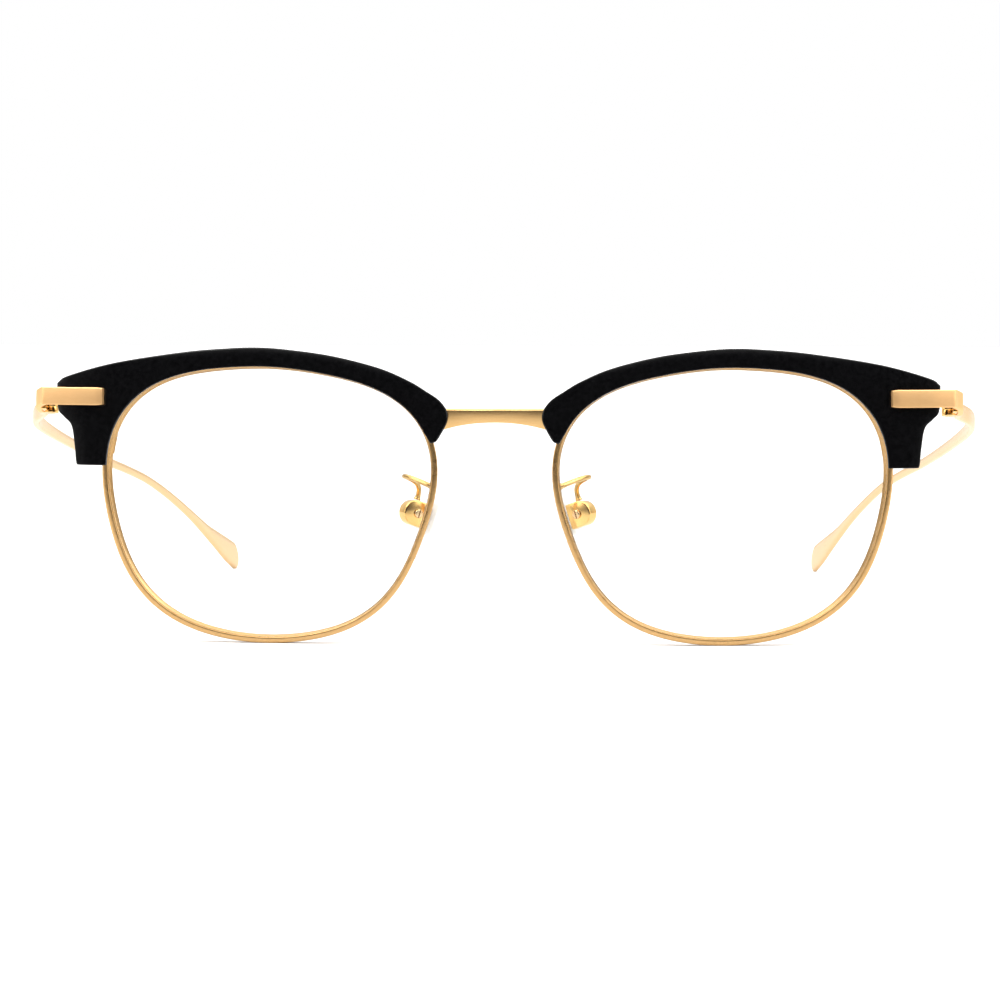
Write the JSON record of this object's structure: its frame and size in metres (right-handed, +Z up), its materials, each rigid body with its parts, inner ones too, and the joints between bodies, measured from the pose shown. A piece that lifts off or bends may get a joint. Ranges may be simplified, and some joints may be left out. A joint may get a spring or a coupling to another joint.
{
  "type": "half rim eyeglasses",
  "caption": "Browline eyeglasses: black acetate brow pieces over gold eyewires, clear lenses, gold bridge, rocking nose pads and slim folding metal temples.",
  "frame": {"origin": "bottom centre of the bounding box of the open glasses, on the table they stand on", "axes": "+X to the wearer's left, +Y back along the temples (the front faces -Y), +Z up; the glasses stand on their rim bottoms and temple tips"},
  "size_m": [0.1512, 0.1442, 0.0452],
  "materials": {
    "brow": "polished black cellulose acetate",
    "eyewire": "satin gold plated wire",
    "strap": "brushed gold plate with polished bevelled edges",
    "gold": "polished gold plate",
    "temple": "polished gold plate",
    "screw": "gold plated screw, slotted head",
    "lens": "clear, polished",
    "silicone": "clear silicone",
    "core": "hard insert"
  },
  "bodies": {
    "front": {"bridge": "strap", "brow_r": "brow", "brow_l": "brow", "rim_r": "eyewire", "rim_l": "eyewire", "lens_r": "lens", "lens_l": "lens", "endpiece_strap_r": "strap", "endpiece_strap_l": "strap", "hinge_front_r": "gold", "hinge_front_l": "gold", "hinge_screw_r": "screw", "hinge_screw_l": "screw", "rim_screw_r": "screw", "rim_screw_l": "screw", "brow_screw_r": "screw", "brow_screw_l": "screw", "strap_rivet_inner_r": "screw", "strap_rivet_inner_l": "screw", "strap_rivet_outer_r": "screw", "strap_rivet_outer_l": "screw", "pad_arm_r": "gold", "pad_arm_l": "gold", "pad_box_r": "gold", "pad_box_l": "gold", "pad_screw_r": "screw", "pad_screw_l": "screw"},
    "temple_r": {"temple_r": "temple", "hinge_temple_r": "gold"},
    "temple_l": {"temple_l": "temple", "hinge_temple_l": "gold"},
    "pad_r": {"nose_pad_r": "silicone", "pad_core_r": "core"},
    "pad_l": {"nose_pad_l": "silicone", "pad_core_l": "core"}
  },
  "joints": [
    {"name": "temple_fold_r", "type": "hinge", "parent": "front", "child": "temple_r", "pos_m": [-0.0697, -0.05964, 0.0362], "axis": [0, -0.1874, -0.9823], "range_deg": [0, 84]},
    {"name": "temple_fold_l", "type": "hinge", "parent": "front", "child": "temple_l", "pos_m": [0.0697, -0.05964, 0.0362], "axis": [0, 0.1874, 0.9823], "range_deg": [0, 79]},
    {"name": "pad_rock_r", "type": "hinge", "parent": "front", "child": "pad_r", "pos_m": [-0.0129, -0.05904, 0.0193], "axis": [-0.5, 0.866, 0], "range_deg": [-8, 8]},
    {"name": "pad_rock_l", "type": "hinge", "parent": "front", "child": "pad_l", "pos_m": [0.0129, -0.05904, 0.0193], "axis": [0.5, 0.866, 0], "range_deg": [-8, 8]}
  ]
}
